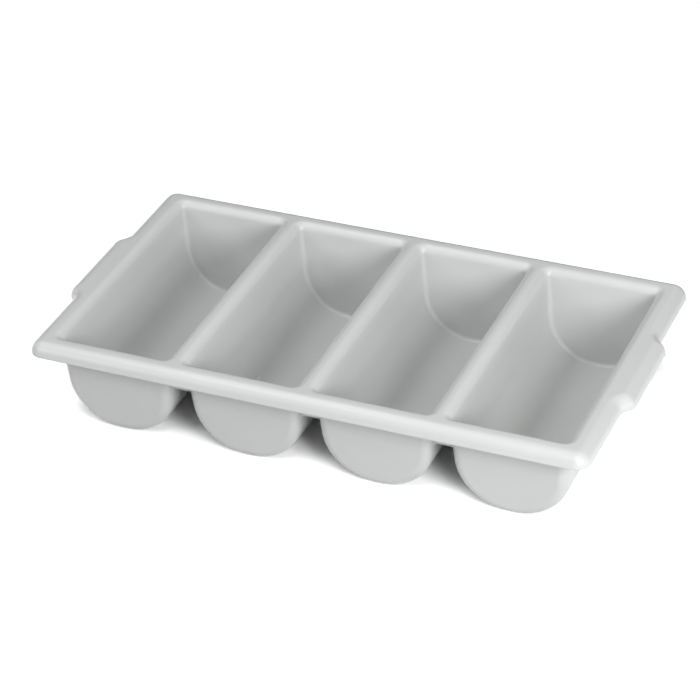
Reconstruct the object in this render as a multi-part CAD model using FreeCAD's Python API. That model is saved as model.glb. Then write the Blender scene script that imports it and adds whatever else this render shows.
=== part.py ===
import FreeCAD, Part
import math
import os
from FreeCAD import Vector

# Four-trough cutlery tray, one injection moulding in polypropylene, in millimetres and degrees.
# X runs along the tray, Y across it with the front at -Y, and Z is up from the surface it stands on.

# Rim: a rounded flange, its outer edge rolled over nearly down to the end of its skirt
rim_length = 522.0
rim_width = 295.5
tray_height = 92.5
rim_corner = 13.4
rim_drop = 12.8
rim_roll = 12.0
wall = 2.8

# Ears: the rim's bulge in the middle of each short end, which the hands hold
ear_reach = 9.0
ear_straight = 91.5
ear_taper = 10.5
ear_corner = 12.5

# Troughs: round-bottomed channels side by side, with leaning sides and flat ends
# The margins run from the rim's outer edge to the outsides of the trough walls at the top
trough_count = 4
trough_gap = 12.0
side_margin = 20.6
end_margin = 19.2
floor_flat = 6.0
side_lean = 4.6
end_lean = 4.0
end_corner = 9.5
mouth_roll = 8.4

# Webs: the short upright ribs that tie neighbouring troughs together near their ends
web_depth = 38.0
web_corner = 3.0

# Heights and reach of the cutting tools, past the faces that they cut
overrun = 5.0
TOLERANCE = 0.01

half_length = rim_length / 2
half_width = rim_width / 2
skirt_bottom = tray_height - rim_drop
deck_underside = tray_height - wall
mouth_seam = tray_height - mouth_roll
lean_sin = math.sin(math.radians(side_lean))
lean_cos = math.cos(math.radians(side_lean))
lean_tan = math.tan(math.radians(side_lean))
end_tan = math.tan(math.radians(end_lean))
end_cos = math.cos(math.radians(end_lean))
trough_width = (rim_length - 2 * side_margin - (trough_count - 1) * trough_gap) / trough_count
trough_pitch = trough_width + trough_gap
# The round bottom's radius, for which the leaning sides come out at the trough's width at the top
side_slack = (trough_width - floor_flat) / 2 - tray_height * lean_tan
trough_arc = side_slack / (lean_cos - (1 - lean_sin) * lean_tan)


def trough_centre(number):
    """X of the middle of trough 1, 2, 3 ..., counted from the left."""
    return (number - (trough_count + 1) / 2) * trough_pitch


def side_x(z, inset):
    """Half the width of a trough at height z, with its surface moved inwards by inset."""
    tangent_z = trough_arc * (1 - lean_sin)
    outer = floor_flat / 2 + trough_arc * lean_cos + (z - tangent_z) * lean_tan
    return outer - inset / lean_cos


def end_y(z, inset):
    """Distance of a trough's end wall from the middle at height z, moved inwards by inset."""
    return half_width - end_margin - (tray_height - z) * end_tan - inset / end_cos


def prism(points, travel):
    """Solid swept from a flat polygon along the vector travel."""
    return Part.Face(Part.makePolygon(points + points[:1])).extrude(travel)


def block(x0, x1, y0, y1, z0, z1):
    """Upright box between two opposite corners."""
    return Part.makeBox(x1 - x0, y1 - y0, z1 - z0, Vector(x0, y0, z0))


def on_plane(edge, height):
    """True where an edge lies in the horizontal plane at this height."""
    return abs(edge.BoundBox.ZMin - height) < TOLERANCE and abs(edge.BoundBox.ZMax - height) < TOLERANCE


def by_trough(edge):
    """True where an edge lies no further out than the outsides of the trough walls at the top."""
    middle = edge.CenterOfMass
    along = abs(middle.x) < half_length - side_margin + TOLERANCE
    return along and abs(middle.y) < half_width - end_margin + TOLERANCE


def trough_section(inset, top):
    """Closed outline across a trough: flat strip, two round quarters and two leaning sides."""
    radius = trough_arc - inset
    strip = floor_flat / 2
    sink = math.radians(270 + (90 - side_lean) / 2)
    right = [
        Vector(strip, 0, inset),
        Vector(strip + radius * math.cos(sink), 0, trough_arc + radius * math.sin(sink)),
        Vector(strip + radius * lean_cos, 0, trough_arc - radius * lean_sin),
        Vector(side_x(top, inset), 0, top),
    ]
    left = [Vector(-point.x, 0, point.z) for point in right]
    edges = [
        Part.makeLine(left[0], right[0]),
        Part.Arc(right[0], right[1], right[2]).toShape(),
        Part.makeLine(right[2], right[3]),
        Part.makeLine(right[3], left[3]),
        Part.makeLine(left[3], left[2]),
        Part.Arc(left[2], left[1], left[0]).toShape(),
    ]
    return Part.Wire(edges)


def tub(number, inset, top):
    """Solid block with the shape of one trough up to the height top, its ends rounded over."""
    run = Vector(0, 2 * half_width, 0)
    bar = Part.Face(trough_section(inset, top)).extrude(run)
    bar.translate(Vector(0, -half_width, 0))
    low = -overrun
    ends = [
        Vector(-trough_pitch, -end_y(low, inset), low),
        Vector(-trough_pitch, end_y(low, inset), low),
        Vector(-trough_pitch, end_y(top, inset), top),
        Vector(-trough_pitch, -end_y(top, inset), top),
    ]
    bar = bar.common(prism(ends, Vector(2 * trough_pitch, 0, 0)))
    rounded = []
    for edge in bar.Edges:
        at_end = all(abs(abs(v.Y) - end_y(v.Z, inset)) < TOLERANCE for v in edge.Vertexes)
        along = edge.BoundBox.YLength > half_width
        if at_end and not along and not on_plane(edge, top):
            rounded.append(edge)
    bar = bar.makeFillet(end_corner - inset, rounded)
    bar.translate(Vector(trough_centre(number), 0, 0))
    return bar


def rounded_outline(corners, z):
    """Closed wire at height z through (x, y, radius) corners, each rounded by its own arc."""
    starts = []
    edges = []
    for index, (x, y, radius) in enumerate(corners):
        here = Vector(x, y, z)
        before = Vector(*corners[index - 1][:2], z) - here
        after = Vector(*corners[(index + 1) % len(corners)][:2], z) - here
        before.normalize()
        after.normalize()
        half_angle = before.getAngle(after) / 2
        middle = (before + after).normalize()
        centre = here + middle * (radius / math.sin(half_angle))
        entry = here + before * (radius / math.tan(half_angle))
        leave = here + after * (radius / math.tan(half_angle))
        starts.append((entry, centre - middle * radius, leave))
    for index, (entry, crown, leave) in enumerate(starts):
        edges.append(Part.Arc(entry, crown, leave).toShape())
        edges.append(Part.makeLine(leave, starts[(index + 1) % len(starts)][0]))
    return Part.Wire(edges)


def rim_outline(z):
    """Outer edge of the rim in plan, with its two ears."""
    near = ear_straight / 2
    far = near + ear_taper
    out = half_length + ear_reach
    right_end = [
        (half_length, -half_width, rim_corner),
        (half_length, -far, ear_corner),
        (out, -near, ear_corner),
        (out, near, ear_corner),
        (half_length, far, ear_corner),
        (half_length, half_width, rim_corner),
    ]
    left_end = [(-x, -y, radius) for x, y, radius in right_end]
    return rounded_outline(right_end + left_end, z)


def rolled_slab(outline, bottom, top, roll):
    """Slab with this outline whose top edge is rolled over to the given radius."""
    slab = Part.Face(outline).extrude(Vector(0, 0, top - bottom))
    slab.translate(Vector(0, 0, bottom))
    edges = [edge for edge in slab.Edges if on_plane(edge, top)]
    return slab.makeFillet(roll, edges)


def moulding():
    """The tray without its webs: rim, skirt, dividers and trough shells as one solid."""
    flange = rolled_slab(rim_outline(0), skirt_bottom, tray_height, rim_roll)
    inner = rim_outline(0).makeOffset2D(-wall)
    hollow = rolled_slab(inner, skirt_bottom - overrun, deck_underside, rim_roll - wall)
    troughs = [tub(number, 0, deck_underside + wall / 2) for number in range(1, trough_count + 1)]
    for trough in troughs:
        hollow = hollow.cut(trough)
    under = [edge for edge in hollow.Edges if on_plane(edge, deck_underside) and by_trough(edge)]
    hollow = hollow.makeFillet(mouth_roll - wall, under)
    body = flange
    for trough in troughs:
        body = body.fuse(trough)
    body = body.cut(hollow)
    for number in range(1, trough_count + 1):
        body = body.cut(tub(number, wall, tray_height + overrun))
    mouths = [edge for edge in body.Edges if on_plane(edge, tray_height) and by_trough(edge)]
    return body.makeFillet(mouth_roll, mouths).removeSplitter()


def web(left_trough, side, rim):
    """Upright rib between two neighbouring troughs at the front (side -1) or back (side 1), below
    the rim bar of that side."""
    low = tray_height - web_depth
    middle = trough_centre(left_trough) + trough_pitch / 2
    reach = trough_pitch / 2
    foot = low - web_corner
    profile = []
    for z, inset in ((foot, 0), (deck_underside, 0), (deck_underside, wall), (foot, wall)):
        profile.append(Vector(middle - reach, side * (end_y(z, inset) - end_corner), z))
    plate = prism(profile, Vector(2 * reach, 0, 0))
    gap = trough_pitch / 2 - side_x(low, 0)
    arch = block(middle - gap, middle + gap, -half_width, half_width, foot - overrun, low)
    crown = [edge for edge in arch.Edges if on_plane(edge, low) and edge.BoundBox.YLength > half_width]
    plate = plate.cut(arch.makeFillet(web_corner, crown))
    for number in (left_trough, left_trough + 1):
        plate = plate.cut(tub(number, 0, deck_underside))
    return plate.cut(rim)


def split(body):
    """Name the features of the moulding and cut them apart where a mould maker would section it."""
    pieces = {}
    side_gap = half_length - (end_margin + wall) / 2
    end_gap = half_width - (end_margin + wall) / 2
    end_cut = end_y(0, 0) - end_corner
    deck = body
    for number in range(1, trough_count + 1):
        middle = trough_centre(number)
        left = max(middle - trough_pitch / 2, -side_gap)
        right = min(middle + trough_pitch / 2, side_gap)
        below = (-overrun, mouth_seam)
        zones = {
            "front_end": block(left, right, -end_gap, -end_cut, *below),
            "channel": block(left, right, -end_cut, end_cut, *below),
            "back_end": block(left, right, end_cut, end_gap, *below),
        }
        for name, zone in zones.items():
            pieces[f"trough_{number}_{name}"] = body.common(zone)
        deck = deck.cut(block(left, right, -end_gap, end_gap, *below))
    bar = end_y(tray_height, wall) - end_corner - mouth_roll
    past = half_length + ear_reach + overrun
    rows = (skirt_bottom - overrun, tray_height + overrun)
    pieces["rim_front"] = deck.common(block(-past, past, -past, -bar, *rows))
    pieces["rim_back"] = deck.common(block(-past, past, bar, past, *rows))
    for number in range(1, trough_count):
        zone = block(trough_centre(number), trough_centre(number + 1), -bar, bar, *rows)
        pieces[f"divider_{number}"] = deck.common(zone)
    ear_root = half_length - rim_roll
    ear_half = ear_straight / 2 + ear_taper + ear_corner
    last = trough_centre(trough_count)
    for name, side in (("left", -1), ("right", 1)):
        ear_zone = block(*sorted((side * ear_root, side * past)), -ear_half, ear_half, *rows)
        rail_zone = block(*sorted((side * last, side * past)), -bar, bar, *rows)
        pieces[f"ear_{name}"] = deck.common(ear_zone)
        pieces[f"rim_{name}"] = deck.common(rail_zone).cut(ear_zone)
    return pieces


pieces = split(moulding())
for number in range(1, trough_count):
    pieces[f"web_{number}_front"] = web(number, -1, pieces["rim_front"])
    pieces[f"web_{number}_back"] = web(number, 1, pieces["rim_back"])

os.makedirs("parts", exist_ok=True)
for name, shape in pieces.items():
    solids = shape.Solids
    whole = solids[0] if len(solids) == 1 else Part.makeCompound(solids)
    whole.exportStep(f"parts/{name}.step")
    print(name, len(solids), "solid", round(whole.Volume), "mm3", "valid", whole.isValid())
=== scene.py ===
import math

import bpy
import numpy as np
from mathutils import Matrix


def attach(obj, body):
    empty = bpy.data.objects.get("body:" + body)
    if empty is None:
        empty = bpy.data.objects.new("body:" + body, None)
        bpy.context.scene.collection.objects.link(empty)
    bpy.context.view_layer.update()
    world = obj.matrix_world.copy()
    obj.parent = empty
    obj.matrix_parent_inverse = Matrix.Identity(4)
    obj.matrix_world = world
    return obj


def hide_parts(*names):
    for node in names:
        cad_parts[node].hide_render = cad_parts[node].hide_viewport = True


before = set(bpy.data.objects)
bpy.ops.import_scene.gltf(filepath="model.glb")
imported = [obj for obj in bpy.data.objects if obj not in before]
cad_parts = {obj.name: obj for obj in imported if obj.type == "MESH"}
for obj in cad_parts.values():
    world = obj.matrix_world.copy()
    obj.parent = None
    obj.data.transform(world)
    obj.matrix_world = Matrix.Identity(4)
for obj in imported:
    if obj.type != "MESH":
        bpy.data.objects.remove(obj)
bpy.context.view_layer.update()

# Camera: it stands in front of the tray and to the right, and looks down on it from above.
# It is a long lens from about 2.4 m away, turned a little on its own axis.
EYE = (0.8131, -1.8698, 1.3852)
AZIMUTH, ELEVATION, ROLL = math.radians(23.82), math.radians(33.16), math.radians(-2.26)
LENS, SENSOR = 138.86, 36.0
NEAREST, FARTHEST = 0.05, 60.0


def standing(side, rise, behind, place):
    """Matrix of a camera or a lamp, from its own three axes and the place where it stands."""
    columns = np.eye(4)
    columns[:3] = np.stack([side, rise, behind, place], 1)
    return Matrix(columns.tolist())


back = np.array([math.sin(AZIMUTH) * math.cos(ELEVATION),
                 -math.cos(AZIMUTH) * math.cos(ELEVATION),
                 math.sin(ELEVATION)])
right = np.array([math.cos(AZIMUTH), math.sin(AZIMUTH), 0.0])
up = np.cross(back, right)
turned_right = math.cos(ROLL) * right + math.sin(ROLL) * up
turned_up = -math.sin(ROLL) * right + math.cos(ROLL) * up
lens = bpy.data.cameras.new("camera")
lens.lens = LENS
lens.sensor_width = SENSOR
lens.clip_start = NEAREST
lens.clip_end = FARTHEST
camera = bpy.data.objects.new("camera", lens)
camera.matrix_world = standing(turned_right, turned_up, back, EYE)
bpy.context.scene.collection.objects.link(camera)
bpy.context.scene.camera = camera
bpy.context.scene.view_settings.view_transform = "Standard"


# Plastic: the whole tray is one moulding in light grey polypropylene with a satin skin. Its colour
# drifts a little with the flow of the melt. Pale spots low on the troughs' walls, near the floors, are
# painted highlights. Each painted highlight is its middle and its half sizes along X, Y and Z, in
# millimetres.
MM = 0.001
TRAY_GREY = (0.606, 0.618, 0.611)
HIGHLIGHT_GREY = (0.86, 0.86, 0.85)
DARKER, PALER = 0.975, 1.02
DRIFT_LOW, DRIFT_HIGH = 0.3, 0.7
SMOOTHEST, ROUGHEST = 0.28, 0.34
FINE_SHARE = 0.02
GRAIN_STRENGTH, GRAIN_DEPTH = 0.12, 1.0 * MM
REFRACTION = 1.49
LEFT_HIGHLIGHT = ((-95.1, -22.5, 15.0), (0.8, 6.0, 4.0))
MIDDLE_HIGHLIGHT = ((30.6, -18.7, 13.7), (1.5, 1.2, 4.0))
RIGHT_HIGHLIGHT = ((160.3, -18.0, 9.8), (1.0, 2.2, 4.0))


def add_node(tree, kind, values=None, operation=None):
    """New node in the tree, with values for its inputs and with its operation, where it has one."""
    node = tree.nodes.new("ShaderNode" + kind)
    if operation:
        node.operation = operation
    for socket, value in (values or {}).items():
        node.inputs[socket].default_value = value
    return node


def add_mix(tree, data_type, values):
    """New Mix node for colours or for numbers, with values for its inputs."""
    node = tree.nodes.new("ShaderNodeMix")
    node.data_type = data_type
    for socket, value in values.items():
        node.inputs[socket].default_value = value
    return node


def connect(tree, *pairs):
    """Links in the tree, each from an output to an input."""
    for output, socket in pairs:
        tree.links.new(output, socket)


def new_group(name, inputs, outputs):
    """Empty shader group that takes a position and the named numbers, and puts out numbers."""
    group = bpy.data.node_groups.new(name, "ShaderNodeTree")
    group.interface.new_socket("Position", in_out="INPUT", socket_type="NodeSocketVector")
    for label in inputs:
        group.interface.new_socket(label, in_out="INPUT", socket_type="NodeSocketFloat")
    for label in outputs:
        group.interface.new_socket(label, in_out="OUTPUT", socket_type="NodeSocketFloat")
    return group, group.nodes.new("NodeGroupInput"), group.nodes.new("NodeGroupOutput")


def moulded_grain():
    """Fine skin of a moulded part: the fine noise times a small share, plus the broad noise."""
    group, enter, leave = new_group("moulded_grain", ["Grain", "Waviness"], ["Height"])
    fine = add_node(group, "TexNoise", {"Detail": 3.0})
    broad = add_node(group, "TexNoise", {"Detail": 1.0})
    height = add_node(group, "Math", {1: FINE_SHARE}, "MULTIPLY_ADD")
    connect(group,
            (enter.outputs["Position"], fine.inputs["Vector"]),
            (enter.outputs["Grain"], fine.inputs["Scale"]),
            (enter.outputs["Position"], broad.inputs["Vector"]),
            (enter.outputs["Waviness"], broad.inputs["Scale"]),
            (fine.outputs["Fac"], height.inputs[0]),
            (broad.outputs["Fac"], height.inputs[2]),
            (height.outputs[0], leave.inputs["Height"]))
    return group


def melt_drift():
    """Slow change of tone along the flow of the melt, from 0 to 1, plus fine specks. The clouds are
    a noise that is drawn out along the troughs."""
    group, enter, leave = new_group("melt_drift", ["Clouds", "Specks"], ["Drift", "Speck"])
    stretch = add_node(group, "Mapping", {"Scale": (1.0, 0.35, 1.6)})
    clouds = add_node(group, "TexNoise", {"Detail": 4.0})
    specks = add_node(group, "TexNoise", {"Detail": 2.0})
    connect(group,
            (enter.outputs["Position"], stretch.inputs["Vector"]),
            (stretch.outputs["Vector"], clouds.inputs["Vector"]),
            (enter.outputs["Clouds"], clouds.inputs["Scale"]),
            (enter.outputs["Position"], specks.inputs["Vector"]),
            (enter.outputs["Specks"], specks.inputs["Scale"]),
            (clouds.outputs["Fac"], leave.inputs["Drift"]),
            (specks.outputs["Fac"], leave.inputs["Speck"]))
    return group


def painted_highlights():
    """Painted highlights low on the troughs' walls, from 0 to 1: for each, one minus the distance from its
    middle in units of its own half sizes, and never below nothing. The painted highlights are added up."""
    group, enter, leave = new_group("painted_highlights", ["Strength"], ["Mark"])
    total = add_node(group, "Math", {0: 0.0, 1: 0.0}, "ADD").outputs[0]
    for middle, half_size in np.array([LEFT_HIGHLIGHT, MIDDLE_HIGHLIGHT, RIGHT_HIGHLIGHT]) * MM:
        away = add_node(group, "VectorMath", {1: middle}, "SUBTRACT")
        scaled = add_node(group, "VectorMath", {1: half_size}, "DIVIDE")
        distance = add_node(group, "VectorMath", operation="LENGTH")
        near = add_node(group, "Math", {0: 1.0}, "SUBTRACT")
        near.use_clamp = True
        both = add_node(group, "Math", operation="ADD")
        connect(group,
                (enter.outputs["Position"], away.inputs[0]),
                (away.outputs["Vector"], scaled.inputs[0]),
                (scaled.outputs["Vector"], distance.inputs[0]),
                (distance.outputs["Value"], near.inputs[1]),
                (total, both.inputs[0]),
                (near.outputs[0], both.inputs[1]))
        total = both.outputs[0]
    strong = add_node(group, "Math", operation="MULTIPLY")
    strong.use_clamp = True
    connect(group,
            (total, strong.inputs[0]),
            (enter.outputs["Strength"], strong.inputs[1]),
            (strong.outputs[0], leave.inputs["Mark"]))
    return group


def polypropylene():
    """Satin grey plastic: drifting tone in the colour with pale spots of painted highlight mixed in,
    speckled roughness, and a faint grain.
    """
    plastic = bpy.data.materials.new("grey_polypropylene")
    plastic.use_nodes = True
    tree = plastic.node_tree
    shader = tree.nodes["Principled BSDF"]
    shader.inputs["IOR"].default_value = REFRACTION
    place = add_node(tree, "TexCoord")
    drift, grain, highlight_spots = (add_node(tree, "Group") for _ in range(3))
    for node, group, values in ((drift, melt_drift(), {"Clouds": 9.0, "Specks": 260.0}),
                                (grain, moulded_grain(), {"Grain": 900.0, "Waviness": 24.0}),
                                (highlight_spots, painted_highlights(), {"Strength": 1.0})):
        node.node_tree = group
        for label, value in values.items():
            node.inputs[label].default_value = value
        connect(tree, (place.outputs["Object"], node.inputs["Position"]))
    tone = add_node(tree, "ValToRGB")
    for stop, position, share in zip(tone.color_ramp.elements, (DRIFT_LOW, DRIFT_HIGH), (DARKER, PALER)):
        stop.position = position
        stop.color = (*[share * part for part in TRAY_GREY], 1.0)
    # The pale spots mixed into the colour here are painted highlights.
    highlighted = add_mix(tree, "RGBA", {"B": (*HIGHLIGHT_GREY, 1.0)})
    rough = add_node(tree, "MapRange", {"To Min": SMOOTHEST, "To Max": ROUGHEST})
    bump = add_node(tree, "Bump", {"Strength": GRAIN_STRENGTH, "Distance": GRAIN_DEPTH})
    connect(tree,
            (drift.outputs["Drift"], tone.inputs["Fac"]),
            (highlight_spots.outputs["Mark"], highlighted.inputs["Factor"]),
            (tone.outputs["Color"], highlighted.inputs["A"]),
            (highlighted.outputs["Result"], shader.inputs["Base Color"]),
            (drift.outputs["Speck"], rough.inputs["Value"]),
            (rough.outputs["Result"], shader.inputs["Roughness"]),
            (grain.outputs["Height"], bump.inputs["Height"]),
            (bump.outputs["Normal"], shader.inputs["Normal"]))
    return plastic


tray_plastic = polypropylene()


# Trough channels: four round-bottomed gutters side by side, each with a narrow flat along its
# lowest line and sides that lean outwards for the mould. Each is the moulding's plain wall,
# the same thickness all round.
WALL = 2.8 * MM
TRAY_HEIGHT = 92.5 * MM
HALF_LENGTH, HALF_WIDTH = 261.0 * MM, 147.75 * MM
TROUGHS = 4
TROUGH_WIDTH, TROUGH_GAP = 111.2 * MM, 12.0 * MM
HALF_FLAT = 3.0 * MM
SIDE_LEAN = math.radians(4.6)
END_LEAN = math.radians(4.0)
END_MARGIN = 19.2 * MM
INNER_CORNER, OUTER_CORNER = 4.2 * MM, 9.5 * MM
MOUTH_ROLL = 8.4 * MM
SEAM = TRAY_HEIGHT - MOUTH_ROLL
ARC_STEPS, SIDE_STEPS, LENGTH_STEPS, LIP_STEPS = 40, 5, 14, 8
WELD, TOUCH, NEVER_ZERO = 1e-7, 1e-6, 1e-12
pitch = TROUGH_WIDTH + TROUGH_GAP
# The arc's centre lies one outer radius above the table, and the side that leaves the arc at the
# lean has to reach half the trough's width at the tray's top.
arc_height = (TROUGH_WIDTH / 2 - HALF_FLAT - TRAY_HEIGHT * math.tan(SIDE_LEAN)) / (
    math.cos(SIDE_LEAN) - (1 - math.sin(SIDE_LEAN)) * math.tan(SIDE_LEAN))
foot_line = HALF_WIDTH - END_MARGIN - TRAY_HEIGHT * math.tan(END_LEAN)
channel_end = foot_line - OUTER_CORNER


def trough_centre(number):
    """X of the middle of trough 1, 2, 3 or 4."""
    return (number - (TROUGHS + 1) / 2) * pitch


def half_section():
    """Right half of a trough's inner face across the tray, from the flat up to the seam under the
    mouth: a circular arc about (flat, arc height), then a straight side tangent to it.
    Columns are x, z, the normal's x and z, and how far up the straight side the point lies."""
    angle = np.radians(np.linspace(-90, -math.degrees(SIDE_LEAN), ARC_STEPS + 1))
    radius = arc_height - WALL
    arc = np.stack([HALF_FLAT + radius * np.cos(angle), arc_height + radius * np.sin(angle),
                    -np.cos(angle), -np.sin(angle), 0 * angle], 1)
    climb = np.linspace(0, 1, SIDE_STEPS + 1)[1:]
    z = arc[-1, 1] + (SEAM - arc[-1, 1]) * climb
    side = np.stack([arc[-1, 0] + (z - arc[-1, 1]) * math.tan(SIDE_LEAN), z,
                     np.full_like(z, arc[-1, 2]), np.full_like(z, arc[-1, 3]), climb], 1)
    return np.concatenate([arc, side])


def mirrored(rows, signs):
    """The rows in reverse order with each column times its sign, followed by the rows."""
    return np.concatenate([rows[::-1] * signs, rows])


def spread(section, ys):
    """Surface patch of a section (x, z, normal x, normal z) drawn straight along Y through ys."""
    ones = np.ones_like(ys)
    x, z, nx, nz = (section[:, column, None] * ones for column in range(4))
    points = np.stack([x, np.ones_like(x) * ys, z], -1)
    return points, np.stack([nx, 0 * nx, nz], -1)


def moved(patches, x=0.0, flip_x=1, flip_y=1):
    """The patches mirrored in X or Y where asked, and then shifted along X."""
    signs = np.array([flip_x, flip_y, 1.0])
    return [(points * signs + np.array([x, 0, 0]), normals * signs) for points, normals in patches]


def in_rows(patches):
    """Points and normals of all the patches, one after the other."""
    return [np.concatenate([patch[part].reshape(-1, 3) for patch in patches]) for part in (0, 1)]


def squares(patches):
    """Corner numbers of each square of the patches, counted through all of them."""
    quads, start = [], 0
    for points, _ in patches:
        index = start + np.arange(points.shape[0] * points.shape[1]).reshape(points.shape[:2])
        start += index.size
        corners = (index[:-1, :-1], index[1:, :-1], index[1:, 1:], index[:-1, 1:])
        quads.append(np.stack(corners, -1).reshape(-1, 4))
    return np.concatenate(quads)


def sheet(patches, backs):
    """The patches joined to one sheet. Its squares are turned to face along their normals, points
    that lie in one place become one, and a square that loses a corner to this is a triangle.
    The back is the sheet sunk by the wall along its normals, unless patches for it are given."""
    points, normals = in_rows(patches)
    back_points, back_normals = in_rows(backs) if backs else (points - WALL * normals, normals)
    quads = squares(patches)
    across = np.cross(points[quads[:, 2]] - points[quads[:, 0]], points[quads[:, 3]] - points[quads[:, 1]])
    wrong = (across * normals[quads].sum(1)).sum(1) < 0
    quads[wrong] = quads[wrong, ::-1]
    places = np.round(points / WELD).astype(np.int64)
    _, first, same = np.unique(places, axis=0, return_index=True, return_inverse=True)
    quads = same.reshape(-1)[quads]
    differs = quads != np.roll(quads, 1, axis=1)
    corners = differs.sum(1)
    fours = quads[corners == 4]
    threes = quads[corners == 3][differs[corners == 3]].reshape(-1, 3)
    return [rows[first] for rows in (points, normals, back_points, back_normals)], fours, threes


def open_edges(fours, threes, count):
    """Edges that only one face has. An edge's number is its start times the count, plus its end,
    and an edge is open if no face has it the other way round."""
    edges = np.concatenate([np.stack([faces, np.roll(faces, -1, axis=1)], -1).reshape(-1, 2)
                            for faces in (fours, threes)])
    shared = np.isin(edges[:, 1] * count + edges[:, 0], edges[:, 0] * count + edges[:, 1])
    return edges[~shared]


def rungs(rows, here, there):
    """Corners of the squares between each row and the next, at the here and there columns."""
    return np.stack([rows[:-1][:, there], rows[:-1][:, here], rows[1:][:, here], rows[1:][:, there]], 2)


def lip_round(points, normals, edges, depth):
    """Half an ellipse below the edges, from the show face round to the back: as wide as the wall
    and as deep as told. It gives the new points, the squares and the squares' corner normals."""
    count = len(points)
    ring, place = np.unique(edges, return_inverse=True)
    here, there = place.reshape(-1, 2).T
    turn = np.linspace(0, math.pi, LIP_STEPS + 1)[:, None, None]
    outward, down = normals[ring][None], np.array([0, 0, -1.0])
    middle = points[ring][None] - WALL / 2 * outward
    bulge = middle + WALL / 2 * np.cos(turn) * outward + depth * np.sin(turn) * down
    slope = np.cos(turn) / (WALL / 2) * outward + np.sin(turn) / depth * down
    slope /= np.linalg.norm(slope, axis=-1, keepdims=True)
    fresh = 2 * count + np.arange((LIP_STEPS - 1) * len(ring)).reshape(LIP_STEPS - 1, -1)
    rows = np.concatenate([ring[None], fresh, ring[None] + count])
    strip, facing = rungs(rows, here, there), rungs(slope, here, there)
    return bulge[1:-1].reshape(-1, 3), strip.reshape(-1, 4), facing.reshape(-1, 4, 3)


def shell(name, patches, lip=None, backs=None):
    """Closed wall of plastic. The patches are its show face, and its back is the sheet's. Strips
    join the two along every open edge, with a face normal of their own. Open edges at the lip's
    height are closed by the lip's round instead, which hangs down by the lip's depth."""
    (points, normals, back_points, back_normals), fours, threes = sheet(patches, backs)
    count = len(points)
    edges = open_edges(fours, threes, count)
    on_lip = np.zeros(len(edges), bool)
    if lip:
        lip_height, lip_depth = lip
        on_lip = np.all(np.abs(points[edges][:, :, 2] - lip_height) < TOUCH, axis=1)
    cut = edges[~on_lip]
    sides = np.stack([cut[:, 1], cut[:, 0], cut[:, 0] + count, cut[:, 1] + count], 1)
    whole = np.concatenate([points, back_points])
    facing = np.cross(whole[sides[:, 2]] - whole[sides[:, 0]], whole[sides[:, 3]] - whole[sides[:, 1]])
    facing /= np.linalg.norm(facing, axis=1, keepdims=True) + NEVER_ZERO
    coordinates = [whole]
    face_sets = [fours, fours[:, ::-1] + count, threes, threes[:, ::-1] + count, sides]
    corner_normals = [normals[fours], -back_normals[fours[:, ::-1]], normals[threes],
                      -back_normals[threes[:, ::-1]], np.repeat(facing[:, None], 4, axis=1)]
    if on_lip.any():
        bulge, strip, slope = lip_round(points, normals, edges[on_lip], lip_depth)
        coordinates.append(bulge)
        face_sets.append(strip)
        corner_normals.append(slope)
    mesh = bpy.data.meshes.new(name)
    corners = [face for faces in face_sets for face in faces.tolist()]
    mesh.from_pydata(np.concatenate(coordinates).tolist(), [], corners)
    mesh.polygons.foreach_set("use_smooth", [True] * len(mesh.polygons))
    mesh.normals_split_custom_set(np.concatenate([n.reshape(-1, 3) for n in corner_normals]).tolist())
    mesh.materials.append(tray_plastic)
    piece = bpy.data.objects.new(name, mesh)
    bpy.context.scene.collection.objects.link(piece)
    return piece


def fit_out(piece, node):
    """The piece takes the place of the node and moves with the tray."""
    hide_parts(node)
    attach(piece, "root")


section = mirrored(half_section(), np.array([-1, 1, -1, 1, 1]))
channel = spread(section, np.linspace(-channel_end, channel_end, LENGTH_STEPS + 1))
for number in range(1, TROUGHS + 1):
    gutter = shell(f"channel_{number}", moved([channel], trough_centre(number)))
    fit_out(gutter, f"trough_{number}_channel")


# Trough ends: a flat wall that leans outwards closes each channel, in one with it. The joint is
# rounded all along, tightly on the inside and more generously on the outside, so the wall thins
# a little there.
CORNER_STEPS, WALL_STEPS = 12, 6
end_out = np.array([0, math.cos(END_LEAN), -math.sin(END_LEAN)])
corner_line = foot_line - (WALL + INNER_CORNER) / math.cos(END_LEAN)
outer_line = foot_line - OUTER_CORNER / math.cos(END_LEAN)


def turned(start):
    """Unit directions that swing evenly from each start direction to the end wall's outward one."""
    swing = np.arccos(np.clip(start @ end_out, -1, 1))[:, None, None]
    share = np.linspace(0, 1, CORNER_STEPS + 1)[None, :, None]
    return (np.sin((1 - share) * swing) * start[:, None] + np.sin(share * swing) * end_out) / np.sin(swing)


def corner_round(section, radius, line):
    """Round between a channel and its end wall, as a ball of this radius leaves it when its centre
    runs along the line. Each point is the ball's centre plus the radius along the turned
    direction. Towards the seam the rows settle to one height each."""
    x, z, nx, nz, climb = (section[:, column, None] for column in range(5))
    out = turned(-np.concatenate([nx, 0 * nx, nz], 1))
    level = (1 - climb) * (z + radius * nz) + climb * (z - radius * out[..., 2])
    lean = np.sign(x) * math.tan(SIDE_LEAN) * (climb > 0)
    centre_x = x + radius * nx + (level - z - radius * nz) * lean
    centre = np.stack([centre_x, line + level * math.tan(END_LEAN), level], -1)
    lead_in = np.stack([x[:, 0], np.full(len(x), channel_end), z[:, 0]], -1)
    points = np.concatenate([lead_in[:, None], centre + radius * out], 1)
    return points, -np.concatenate([out[:, :1], out], 1)


def end_wall(rounded):
    """Flat end wall between the round's edge on the right and the same edge mirrored to the left."""
    share = np.linspace(1, -1, WALL_STEPS + 1)[None, :, None]
    edge = rounded[:, -1][:, None]
    points = edge * np.array([0, 1, 1]) + edge * np.array([1, 0, 0]) * share
    return points, np.broadcast_to(-end_out, points.shape).copy()


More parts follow.
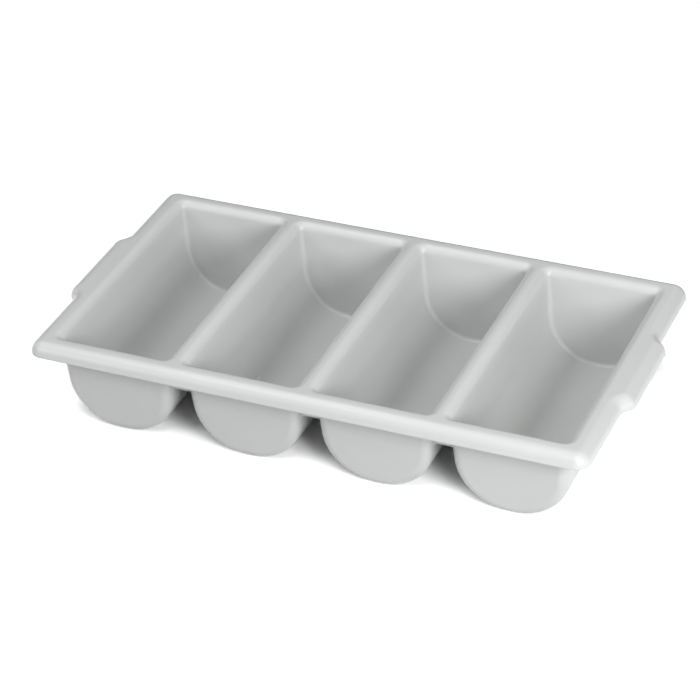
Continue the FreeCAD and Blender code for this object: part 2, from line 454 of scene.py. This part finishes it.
def end_face(half_round, half_facing):
    """One face of a trough's end: the round on both sides, the flat strip's end, and the wall."""
    swap = np.array([-1, 1, 1])
    left_round, left_facing = half_round * swap, half_facing * swap
    flat_strip = (np.stack([left_round[0], half_round[0]]), np.stack([left_facing[0], half_facing[0]]))
    return [(half_round, half_facing), (left_round, left_facing), flat_strip, end_wall(half_round)]


inner_section = half_section()
outer_section = inner_section.copy()
outer_section[:, :2] -= WALL * inner_section[:, 2:4]
inner_round = corner_round(inner_section, INNER_CORNER, corner_line)
inside = end_face(*inner_round)
outside = end_face(*corner_round(outer_section, OUTER_CORNER, outer_line))
for number in range(1, TROUGHS + 1):
    for side, flip in (("front", -1), ("back", 1)):
        shown, hidden = (moved(face, trough_centre(number), flip_y=flip) for face in (inside, outside))
        fit_out(shell(f"{side}_end_{number}", shown, backs=hidden), f"trough_{number}_{side}_end")


# Rim bars: the rounded flange along the front and the back of the tray, moulded on. It rolls down
# into the troughs' mouths on the inside and over into a skirt on the outside, and turns the tray's
# corners.
RIM_ROLL = 12.0 * MM
RIM_CORNER = 13.4 * MM
SKIRT_DROP = 12.8 * MM
LIP_DEPTH = 0.75 * MM
LIP_HEIGHT = TRAY_HEIGHT - SKIRT_DROP + LIP_DEPTH
SKIRT_LIP = (LIP_HEIGHT, LIP_DEPTH)
DECK_LINE = 135.3 * MM
ROLL_STEPS, BEND_STEPS = 12, 16
PARALLEL = 1e-9
bar_cut = HALF_WIDTH - END_MARGIN - WALL / math.cos(END_LEAN) - OUTER_CORNER - MOUTH_ROLL
side_seam = inner_section[-1, 0]


def mouth_path():
    """The mouth's edge around the back end of a trough, from its right side over to its left side.
    Each row holds the point on the seam, the outward direction in the plan, and the centre of the
    roll, which is the centre of the trough's inner round plus both radii along the outward
    direction. The second list is the wall's lean at each row."""
    side_out = np.array([[math.cos(SIDE_LEAN), 0, -math.sin(SIDE_LEAN)]])
    out = turned(side_out)[0]
    lean = np.arcsin(-out[:, 2])
    reach = INNER_CORNER + MOUTH_ROLL
    height = SEAM + reach * np.sin(lean)
    axis_x = side_seam - INNER_CORNER / math.cos(SIDE_LEAN) + (height - SEAM) * math.tan(SIDE_LEAN)
    axis = np.stack([axis_x, corner_line + height * math.tan(END_LEAN), height], 1)
    centre = axis + reach * out
    plan = out * np.array([1, 1, 0])
    plan /= np.linalg.norm(plan, axis=1, keepdims=True)
    seam = inner_round[0][-1, 1:]
    start = np.array([side_seam, bar_cut, SEAM])
    centre_start = np.array([centre[0, 0], bar_cut, SEAM])
    half_steps = WALL_STEPS // 2
    share = np.linspace(1, -1, WALL_STEPS + 1)[1:half_steps + 1, None]
    inward = seam[-1] * np.array([[1, 0, 0]]) * share
    end_seam = seam[-1] * np.array([0, 1, 1]) + inward
    end_centre = centre[-1] * np.array([0, 1, 1]) + inward
    rows = np.concatenate([
        np.concatenate([start[None], seam, end_seam]),
        np.concatenate([plan[:1], plan, np.repeat(plan[-1:], half_steps, 0)]),
        np.concatenate([centre_start[None], centre, end_centre]),
    ], 1)
    leans = np.concatenate([lean[:1], lean, np.repeat(lean[-1:], half_steps)])
    across = np.array([-1, 1, 1] * 3)
    return np.concatenate([rows, (rows * across)[-2::-1]]), np.concatenate([leans, leans[-2::-1]])


def mouth_round(rows, leans):
    """Roll from the trough's wall over to the deck: a quarter circle about each centre, from the
    wall's lean up to level, with the seam as its first line."""
    seam, plan, centre = rows[:, :3], rows[:, 3:6], rows[:, 6:]
    share = np.linspace(0, 1, ROLL_STEPS + 1)[:, None]
    angle = (leans + (math.pi / 2 - leans) * share)[..., None]
    out = -plan * np.cos(angle) + np.array([0, 0, 1]) * np.sin(angle)
    points = centre + MOUTH_ROLL * out
    return np.concatenate([seam[None], points]), np.concatenate([out[:1], out])


def ruled(edge_a, edge_b):
    """Flat patch of deck between two lines with as many points each."""
    points = np.stack([edge_a, edge_b])
    return points, np.broadcast_to(np.array([0, 0, 1.0]), points.shape).copy()


def cell_line(rows):
    """Where the deck round one trough meets its neighbours': each point of the mouth's edge is sent
    straight outwards to the cell's rectangle, and the one nearest to its corner goes into it. A
    point that moves parallel to a side of the rectangle never reaches that side."""
    plan, centre = rows[:, 3:6], rows[:, 6:]
    sideways, room = np.abs(plan[:, 0]), pitch / 2 - np.abs(centre[:, 0])
    with np.errstate(divide="ignore", invalid="ignore"):
        reach_x = np.where(sideways > PARALLEL, room / sideways, np.inf)
        reach_y = np.where(plan[:, 1] > PARALLEL, (DECK_LINE - centre[:, 1]) / plan[:, 1], np.inf)
    line = centre + plan * np.minimum(reach_x, reach_y)[:, None]
    line[:, 2] = TRAY_HEIGHT
    for sign in (1, -1):
        corner = np.array([sign * pitch / 2, DECK_LINE, TRAY_HEIGHT])
        line[np.argmin(np.linalg.norm(line - corner, axis=1))] = corner
    return line


def rolled_edge(path, outward):
    """Outer edge of the rim: from the deck over a quarter circle and down the skirt to its lip.
    The path is the rim's outer outline, with its outward directions in the plan."""
    turn = np.linspace(0, math.pi / 2, ROLL_STEPS + 1)[:, None, None]
    rise = np.array([0, 0, 1.0])
    out = np.sin(turn) * outward + np.cos(turn) * rise
    points = path + RIM_ROLL * (out - outward) + (TRAY_HEIGHT - RIM_ROLL) * rise
    foot = path + LIP_HEIGHT * rise
    return np.concatenate([points, foot[None]]), np.concatenate([out, out[-1:]])


def both_ways(half, middle):
    """A line from the right end of the bar over the middle to its left end, which mirrors the right."""
    return np.concatenate([half, middle, (half * np.array([-1, 1, 1]))[::-1]])


rows, leans = mouth_path()
mouth = mouth_round(rows, leans)
ring = ruled(mouth[0][-1], cell_line(rows))
bar_patches = []
boundary = []
for number in range(TROUGHS, 0, -1):
    bar_patches += moved([mouth, ring], trough_centre(number))
    line = cell_line(rows) + np.array([trough_centre(number), 0, 0])
    on_back = np.abs(line[:, 1] - DECK_LINE) < WELD
    outer_right = (number == TROUGHS) & (line[:, 0] > trough_centre(number))
    outer_left = (number == 1) & (line[:, 0] < trough_centre(number))
    boundary.append(line[on_back | outer_right | outer_left])
boundary = np.concatenate(boundary)
half_deck = TROUGHS * pitch / 2
corner_x, corner_y = HALF_LENGTH - RIM_CORNER, HALF_WIDTH - RIM_CORNER
on_side = np.abs(boundary[:, 1] - DECK_LINE) > WELD
back_points = boundary[~on_side]
right_side = boundary[on_side & (boundary[:, 0] > 0)]
bend = np.linspace(0, math.pi / 2, BEND_STEPS + 1)
bend_out = np.stack([np.cos(bend), np.sin(bend), 0 * bend], 1)
bend_path = np.array([corner_x, corner_y, 0]) + RIM_CORNER * bend_out
side_y, back_x = np.minimum(right_side[:, 1], corner_y), np.clip(back_points[:, 0], -corner_x, corner_x)
side_path = np.stack([np.full_like(side_y, HALF_LENGTH), side_y, 0 * side_y], 1)
back_path = np.stack([back_x, np.full_like(back_x, HALF_WIDTH), 0 * back_x], 1)
deck_corner = np.repeat([[half_deck, DECK_LINE, TRAY_HEIGHT]], len(bend_path), 0)
inner_line = both_ways(np.concatenate([right_side, deck_corner]), back_points)
bar_path = both_ways(np.concatenate([side_path, bend_path]), back_path)
bar_out = both_ways(np.concatenate([np.repeat([[1.0, 0, 0]], len(side_path), 0), bend_out]),
                    np.repeat([[0, 1.0, 0]], len(back_path), 0))
edge = rolled_edge(bar_path, bar_out)
bar_patches += [ruled(inner_line, edge[0][0]), edge]
for side, flip in (("front", -1), ("back", 1)):
    fit_out(shell(f"{side}_rim_bar", moved(bar_patches, flip_y=flip), lip=SKIRT_LIP), f"rim_{side}")


# Dividers: the round crowns between neighbouring troughs, rolled down on both sides into the mouths.
# They are the same moulded wall, and tie the front rim to the back one.
def section_of(patch):
    """Section (x, z, normal x, normal z) along a patch's first column."""
    points, normals = patch
    return np.stack([points[:, 0, 0], points[:, 0, 2], normals[:, 0, 0], normals[:, 0, 2]], 1)


roll_section = section_of(mouth_round(rows[:1], leans[:1]))
gap_section = roll_section - np.array([pitch / 2, 0, 0, 0])
crown = np.concatenate([gap_section, (gap_section * np.array([-1, 1, -1, 1]))[::-1]])
deck = spread(crown, np.linspace(-bar_cut, bar_cut, LENGTH_STEPS + 1))
for number in range(1, TROUGHS):
    middle = trough_centre(number) + pitch / 2
    fit_out(shell(f"crown_{number}", moved([deck], middle)), f"divider_{number}")


# Rim rails: the rim along the two short ends, from corner to corner, in one with the rest. In the
# middle it stops at the ear's root, and elsewhere it has the long bars' deck, roll and skirt.
EAR_ROOT = HALF_LENGTH - RIM_ROLL
EAR_HALF = 68.75 * MM
EAR_STRETCH_STEPS, RAIL_STEPS = 8, 3
deck_section = roll_section + np.array([trough_centre(TROUGHS), 0, 0, 0])
under_ear_section = np.concatenate([deck_section, [[EAR_ROOT, TRAY_HEIGHT, 0, 1]]])
skirt = rolled_edge(np.array([[HALF_LENGTH, 0, 0]]), np.array([[1.0, 0, 0]]))
full_section = np.concatenate([deck_section, section_of(skirt)])
rail_patches = [
    spread(under_ear_section, np.linspace(-EAR_HALF, EAR_HALF, EAR_STRETCH_STEPS + 1)),
    spread(full_section, np.linspace(EAR_HALF, bar_cut, RAIL_STEPS + 1)),
    spread(full_section, np.linspace(-bar_cut, -EAR_HALF, RAIL_STEPS + 1)),
]
for side, flip in (("left", -1), ("right", 1)):
    fit_out(shell(f"{side}_rim_rail", moved(rail_patches, flip_x=flip), lip=SKIRT_LIP), f"rim_{side}")


# Ears: the rim bulges out in the middle of each short end, so that the fingers get a hold under it.
# The moulded deck, its roll and the skirt run on around the bulge.
EAR_REACH = 9.0 * MM
EAR_STRAIGHT = 91.5 * MM
EAR_TAPER = 10.5 * MM
EAR_CORNER = 12.5 * MM
EAR_STEPS = 10


def rounded_path(corners, radius):
    """Line through the corners in the plan with a circular arc of this radius at each inner one,
    and its outward directions, which lie to the right of the direction of travel."""
    corners = np.array(corners, float)
    points, outwards = [], []
    for before, here, after in zip(corners[:-2], corners[1:-1], corners[2:]):
        come = (here - before) / np.linalg.norm(here - before)
        go = (after - here) / np.linalg.norm(after - here)
        bend = math.atan2(come[0] * go[1] - come[1] * go[0], come @ go)
        start = here - come * radius * math.tan(abs(bend) / 2)
        hand = np.array([-come[1], come[0]]) * np.sign(bend)
        centre = start + hand * radius
        angle = np.linspace(0, bend, EAR_STEPS + 1)[:, None]
        spoke = -hand * np.cos(angle) + come * np.sin(np.abs(angle))
        points.append(centre + radius * spoke)
        outwards.append(spoke * np.sign(bend))
    first = (corners[1] - corners[0]) / np.linalg.norm(corners[1] - corners[0])
    last = (corners[-1] - corners[-2]) / np.linalg.norm(corners[-1] - corners[-2])
    points = np.concatenate([corners[:1]] + points + [corners[-1:]])
    outwards = np.concatenate([[[first[1], -first[0]]]] + outwards + [[[last[1], -last[0]]]])
    flat = np.zeros((len(points), 1))
    return np.hstack([points, flat]), np.hstack([outwards, flat])


straight_end = EAR_STRAIGHT / 2
taper_end = straight_end + EAR_TAPER
ear_front = HALF_LENGTH + EAR_REACH
ear_corners = [(HALF_LENGTH, -EAR_HALF), (HALF_LENGTH, -taper_end), (ear_front, -straight_end),
               (ear_front, straight_end), (HALF_LENGTH, taper_end), (HALF_LENGTH, EAR_HALF)]
ear_edge = rolled_edge(*rounded_path(ear_corners, EAR_CORNER))
root_line = ear_edge[0][0] * np.array([0, 1, 1]) + np.array([EAR_ROOT, 0, 0])
ear_patches = [ruled(root_line, ear_edge[0][0]), ear_edge]
for side, flip in (("left", -1), ("right", 1)):
    fit_out(shell(f"{side}_ear", moved(ear_patches, flip_x=flip), lip=SKIRT_LIP), f"ear_{side}")


# Webs: short upright ribs between neighbouring troughs, just inside the end walls. They are plain
# plates of the same plastic, moulded on, so the solids themselves stay and take the plastic.
for number in range(1, TROUGHS):
    for side in ("front", "back"):
        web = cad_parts[f"web_{number}_{side}"]
        web.data.materials.clear()
        web.data.materials.append(tray_plastic)


# Floor and light: a white table under soft lamps from above, from the front and from both sides,
# with a key lamp near the front right corner and weak ones from behind. Floor and surroundings
# show white to the camera, and the floor still takes the tray's shadow.
FLOOR_SIZE = 2.4
FLOOR_GIVES, FLOOR_SEEN = (0.45, 0.45, 0.45, 1.0), (1.7, 1.7, 1.7, 1.0)
SKY_WHITE = (1.0, 1.0, 1.0, 1.0)
SKY_GIVES, SKY_SEEN = 0.005, 1.0


def white_floor():
    """Matt white that the camera and reflections see brighter than the light that it gives back."""
    paper = bpy.data.materials.new("white_paper")
    paper.use_nodes = True
    tree = paper.node_tree
    tree.nodes.remove(tree.nodes["Principled BSDF"])
    matt = add_node(tree, "BsdfDiffuse")
    path = add_node(tree, "LightPath")
    seen = add_node(tree, "Math", operation="ADD")
    seen.use_clamp = True
    tone = add_mix(tree, "RGBA", {"A": FLOOR_GIVES, "B": FLOOR_SEEN})
    connect(tree,
            (path.outputs["Is Camera Ray"], seen.inputs[0]),
            (path.outputs["Is Glossy Ray"], seen.inputs[1]),
            (seen.outputs[0], tone.inputs["Factor"]),
            (tone.outputs["Result"], matt.inputs["Color"]),
            (matt.outputs["BSDF"], tree.nodes["Material Output"].inputs["Surface"]))
    return paper


def softbox(name, place, size, watts, target=(0, 0, 0)):
    """Rectangular lamp at a place that faces its target. Its size is its width and its height."""
    lamp = bpy.data.lights.new(name, "AREA")
    lamp.shape = "RECTANGLE"
    lamp.size, lamp.size_y = size
    lamp.energy = watts
    box = bpy.data.objects.new(name, lamp)
    way = np.array(target, float) - np.array(place, float)
    way /= np.linalg.norm(way)
    side = np.cross(way, [0, 0, 1.0])
    side /= np.linalg.norm(side)
    box.matrix_world = standing(side, np.cross(side, way), -way, place)
    bpy.context.scene.collection.objects.link(box)


bpy.ops.mesh.primitive_plane_add(size=FLOOR_SIZE, location=(0, 0, 0))
floor = bpy.context.object
floor.name = "floor"
floor.data.materials.append(white_floor())

sky = bpy.data.worlds.new("studio")
bpy.context.scene.world = sky
sky.use_nodes = True
air = sky.node_tree.nodes["Background"]
air.inputs["Color"].default_value = SKY_WHITE
ray = add_node(sky.node_tree, "LightPath")
level = add_mix(sky.node_tree, "FLOAT", {"A": SKY_GIVES, "B": SKY_SEEN})
connect(sky.node_tree,
        (ray.outputs["Is Camera Ray"], level.inputs["Factor"]),
        (level.outputs["Result"], air.inputs["Strength"]))

softbox("over_front", place=(0.3, -1.2, 2.0), size=(0.9, 0.9), watts=8.3)
softbox("over_left", place=(-1.2, 0.0, 2.0), size=(0.9, 0.9), watts=6.0)
softbox("over_back", place=(0.0, 1.2, 2.0), size=(0.9, 0.9), watts=0.9)
softbox("key", place=(1.1, -0.9, 0.7), size=(0.6, 0.6), watts=17.8, target=(0.15, 0, 0.05))
softbox("left_front", place=(-1.6, -1.6, 1.3), size=(1.0, 1.0), watts=14.5)
softbox("left_wall", place=(-2.2, 0.0, 1.2), size=(1.4, 1.4), watts=4.5)
softbox("spot_left", place=(-0.75, -0.7, 1.9), size=(0.35, 0.35), watts=5.2)
softbox("spot_right", place=(0.75, -0.7, 1.9), size=(0.35, 0.35), watts=4.1)
softbox("low_right", place=(2.8, 0.0, 0.35), size=(1.4, 0.5), watts=14.0, target=(0, 0, 0.05))
softbox("back_wall", place=(0.0, 2.4, 1.2), size=(1.4, 1.4), watts=4.0)
softbox("low_left", place=(-2.8, 0.3, 0.5), size=(1.4, 0.7), watts=3.5, target=(0, 0, 0.05))
softbox("small_lamp", place=(-0.6, 0.2, 1.9), size=(0.15, 0.15), watts=3.5)
